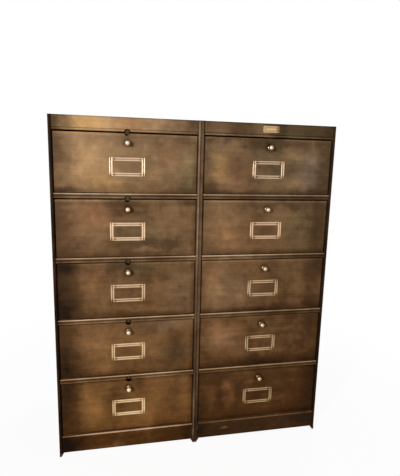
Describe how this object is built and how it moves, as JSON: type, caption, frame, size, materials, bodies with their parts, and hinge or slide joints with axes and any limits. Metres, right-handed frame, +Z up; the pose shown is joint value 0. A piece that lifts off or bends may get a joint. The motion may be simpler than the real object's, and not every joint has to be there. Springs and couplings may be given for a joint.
{
  "type": "drop-front filing cabinet",
  "caption": "Steel office cabinet with two columns of bottom-hinged drop flaps, each with a ball knob and a brass label holder.",
  "frame": {"origin": "centre of the bounding box, knobs included, at floor level", "axes": "+X to the right seen from the front, +Y towards the back, +Z up; the flaps face -Y"},
  "size_m": [0.85, 0.3944, 1.0284],
  "materials": {
    "case_steel": "brushed steel under dark bronze patina and clear lacquer",
    "flap_steel": "brushed steel with mottled bronze patina, satin lacquer",
    "rail_steel": "roll-formed steel, patina rubbed back to bright on the crests",
    "shelf_steel": "plain folded steel, brown patina",
    "hinge_steel": "drawn steel piano hinge, darkened",
    "spring_steel": "blued and worn spring steel",
    "foot_steel": "dark worn foot",
    "bolt_steel": "zinc-plated bolt",
    "brass": "pressed and turned brass, aged, edges polished"
  },
  "bodies": {
    "case": {"left_side_panel": "case_steel", "left_partition": "case_steel", "right_partition": "case_steel", "right_side_panel": "case_steel", "left_top": "case_steel", "right_top": "case_steel", "left_shelves": "shelf_steel", "right_shelves": "shelf_steel", "left_rails": "rail_steel", "right_rails": "rail_steel", "left_plinth": "case_steel", "right_plinth": "case_steel", "left_back": "case_steel", "right_back": "case_steel", "case_leaves": "hinge_steel", "hinge_pins": "hinge_steel", "catch_springs": "spring_steel", "feet": "foot_steel", "column_bolts": "bolt_steel", "name_plate": "brass"},
    "left_front_1": {"left_flap_1": "flap_steel", "left_flap_leaf_1": "hinge_steel", "left_knob_1": "brass", "left_label_holder_1": "brass"},
    "left_front_2": {"left_flap_2": "flap_steel", "left_flap_leaf_2": "hinge_steel", "left_knob_2": "brass", "left_label_holder_2": "brass"},
    "left_front_3": {"left_flap_3": "flap_steel", "left_flap_leaf_3": "hinge_steel", "left_knob_3": "brass", "left_label_holder_3": "brass"},
    "left_front_4": {"left_flap_4": "flap_steel", "left_flap_leaf_4": "hinge_steel", "left_knob_4": "brass", "left_label_holder_4": "brass"},
    "left_front_5": {"left_flap_5": "flap_steel", "left_flap_leaf_5": "hinge_steel", "left_knob_5": "brass", "left_label_holder_5": "brass"},
    "right_front_1": {"right_flap_1": "flap_steel", "right_flap_leaf_1": "hinge_steel", "right_knob_1": "brass", "right_label_holder_1": "brass"},
    "right_front_2": {"right_flap_2": "flap_steel", "right_flap_leaf_2": "hinge_steel", "right_knob_2": "brass", "right_label_holder_2": "brass"},
    "right_front_3": {"right_flap_3": "flap_steel", "right_flap_leaf_3": "hinge_steel", "right_knob_3": "brass", "right_label_holder_3": "brass"},
    "right_front_4": {"right_flap_4": "flap_steel", "right_flap_leaf_4": "hinge_steel", "right_knob_4": "brass", "right_label_holder_4": "brass"},
    "right_front_5": {"right_flap_5": "flap_steel", "right_flap_leaf_5": "hinge_steel", "right_knob_5": "brass", "right_label_holder_5": "brass"}
  },
  "joints": [
    {"name": "left_hinge_1", "type": "hinge", "parent": "case", "child": "left_front_1", "pos_m": [-0.2125, -0.1769, 0.8159], "axis": [1, 0, 0], "range_deg": [0, 90]},
    {"name": "left_hinge_2", "type": "hinge", "parent": "case", "child": "left_front_2", "pos_m": [-0.2125, -0.1769, 0.6294], "axis": [1, 0, 0], "range_deg": [0, 90]},
    {"name": "left_hinge_3", "type": "hinge", "parent": "case", "child": "left_front_3", "pos_m": [-0.2125, -0.1769, 0.4429], "axis": [1, 0, 0], "range_deg": [0, 90]},
    {"name": "left_hinge_4", "type": "hinge", "parent": "case", "child": "left_front_4", "pos_m": [-0.2125, -0.1769, 0.2564], "axis": [1, 0, 0], "range_deg": [0, 90]},
    {"name": "left_hinge_5", "type": "hinge", "parent": "case", "child": "left_front_5", "pos_m": [-0.2125, -0.1769, 0.0699], "axis": [1, 0, 0], "range_deg": [0, 90]},
    {"name": "right_hinge_1", "type": "hinge", "parent": "case", "child": "right_front_1", "pos_m": [0.2125, -0.1769, 0.8159], "axis": [1, 0, 0], "range_deg": [0, 90]},
    {"name": "right_hinge_2", "type": "hinge", "parent": "case", "child": "right_front_2", "pos_m": [0.2125, -0.1769, 0.6294], "axis": [1, 0, 0], "range_deg": [0, 90]},
    {"name": "right_hinge_3", "type": "hinge", "parent": "case", "child": "right_front_3", "pos_m": [0.2125, -0.1769, 0.4429], "axis": [1, 0, 0], "range_deg": [0, 90]},
    {"name": "right_hinge_4", "type": "hinge", "parent": "case", "child": "right_front_4", "pos_m": [0.2125, -0.1769, 0.2564], "axis": [1, 0, 0], "range_deg": [0, 90]},
    {"name": "right_hinge_5", "type": "hinge", "parent": "case", "child": "right_front_5", "pos_m": [0.2125, -0.1769, 0.0699], "axis": [1, 0, 0], "range_deg": [0, 90]}
  ]
}
